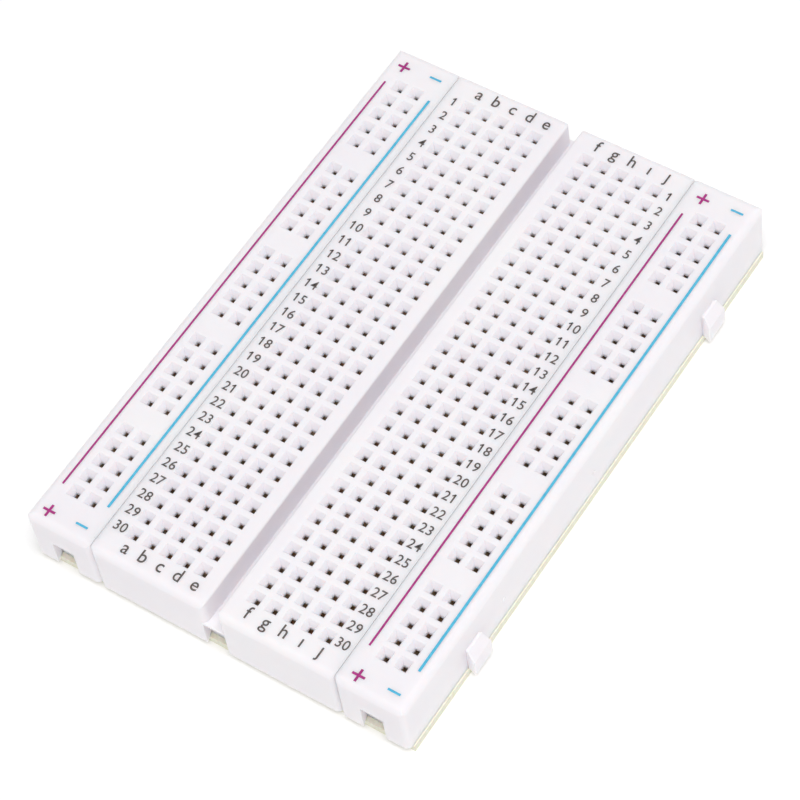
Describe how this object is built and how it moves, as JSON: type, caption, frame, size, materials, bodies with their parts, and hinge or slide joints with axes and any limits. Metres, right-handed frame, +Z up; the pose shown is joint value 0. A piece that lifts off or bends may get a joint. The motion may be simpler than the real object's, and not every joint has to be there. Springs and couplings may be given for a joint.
{
  "type": "solderless breadboard",
  "caption": "White solderless breadboard: socket banks either side of a trench, power rails dovetailed to the long sides, foam backing with a peel-off liner.",
  "frame": {"origin": "under the middle of the socket grid, on the face that the backing rests on", "axes": "+X across the board from socket column a to column j, +Y along the board towards socket row 1, +Z up out of the sockets"},
  "size_m": [0.0559, 0.0839, 0.0096],
  "materials": {
    "moulding": "white moulded plastic, fine satin",
    "spring_metal": "nickel-plated spring strip",
    "foam": "closed-cell adhesive foam, pale cream",
    "liner": "pale yellow coated release paper",
    "positive_ink": "magenta pad-printed ink",
    "negative_ink": "sky-blue pad-printed ink",
    "legend_ink": "dark grey pad-printed ink"
  },
  "bodies": {
    "release_liner": {"release_liner": "liner"},
    "left_rail": {"left_power_rail": "moulding", "left_positive_bus_clip": "spring_metal", "left_negative_bus_clip": "spring_metal", "foam_tape_left": "foam"},
    "middle_block": {"terminal_block": "moulding", "foam_tape_middle": "foam", "terminal_clips_row_01": "spring_metal", "terminal_clips_row_02": "spring_metal", "terminal_clips_row_03": "spring_metal", "terminal_clips_row_04": "spring_metal", "terminal_clips_row_05": "spring_metal", "terminal_clips_row_06": "spring_metal", "terminal_clips_row_07": "spring_metal", "terminal_clips_row_08": "spring_metal", "terminal_clips_row_09": "spring_metal", "terminal_clips_row_10": "spring_metal", "terminal_clips_row_11": "spring_metal", "terminal_clips_row_12": "spring_metal", "terminal_clips_row_13": "spring_metal", "terminal_clips_row_14": "spring_metal", "terminal_clips_row_15": "spring_metal", "terminal_clips_row_16": "spring_metal", "terminal_clips_row_17": "spring_metal", "terminal_clips_row_18": "spring_metal", "terminal_clips_row_19": "spring_metal", "terminal_clips_row_20": "spring_metal", "terminal_clips_row_21": "spring_metal", "terminal_clips_row_22": "spring_metal", "terminal_clips_row_23": "spring_metal", "terminal_clips_row_24": "spring_metal", "terminal_clips_row_25": "spring_metal", "terminal_clips_row_26": "spring_metal", "terminal_clips_row_27": "spring_metal", "terminal_clips_row_28": "spring_metal", "terminal_clips_row_29": "spring_metal", "terminal_clips_row_30": "spring_metal"},
    "right_rail": {"right_power_rail": "moulding", "right_positive_bus_clip": "spring_metal", "right_negative_bus_clip": "spring_metal", "foam_tape_right": "foam"}
  },
  "joints": [
    {"name": "board_off_liner", "type": "slide", "parent": "release_liner", "child": "left_rail", "axis": [0, 0, 1], "range_m": [0, 0.01]},
    {"name": "block_off_left_rail", "type": "slide", "parent": "left_rail", "child": "middle_block", "axis": [0, 0, 1], "range_m": [0, 0.01]},
    {"name": "right_rail_off_block", "type": "slide", "parent": "middle_block", "child": "right_rail", "axis": [0, 0, 1], "range_m": [0, 0.01]}
  ]
}
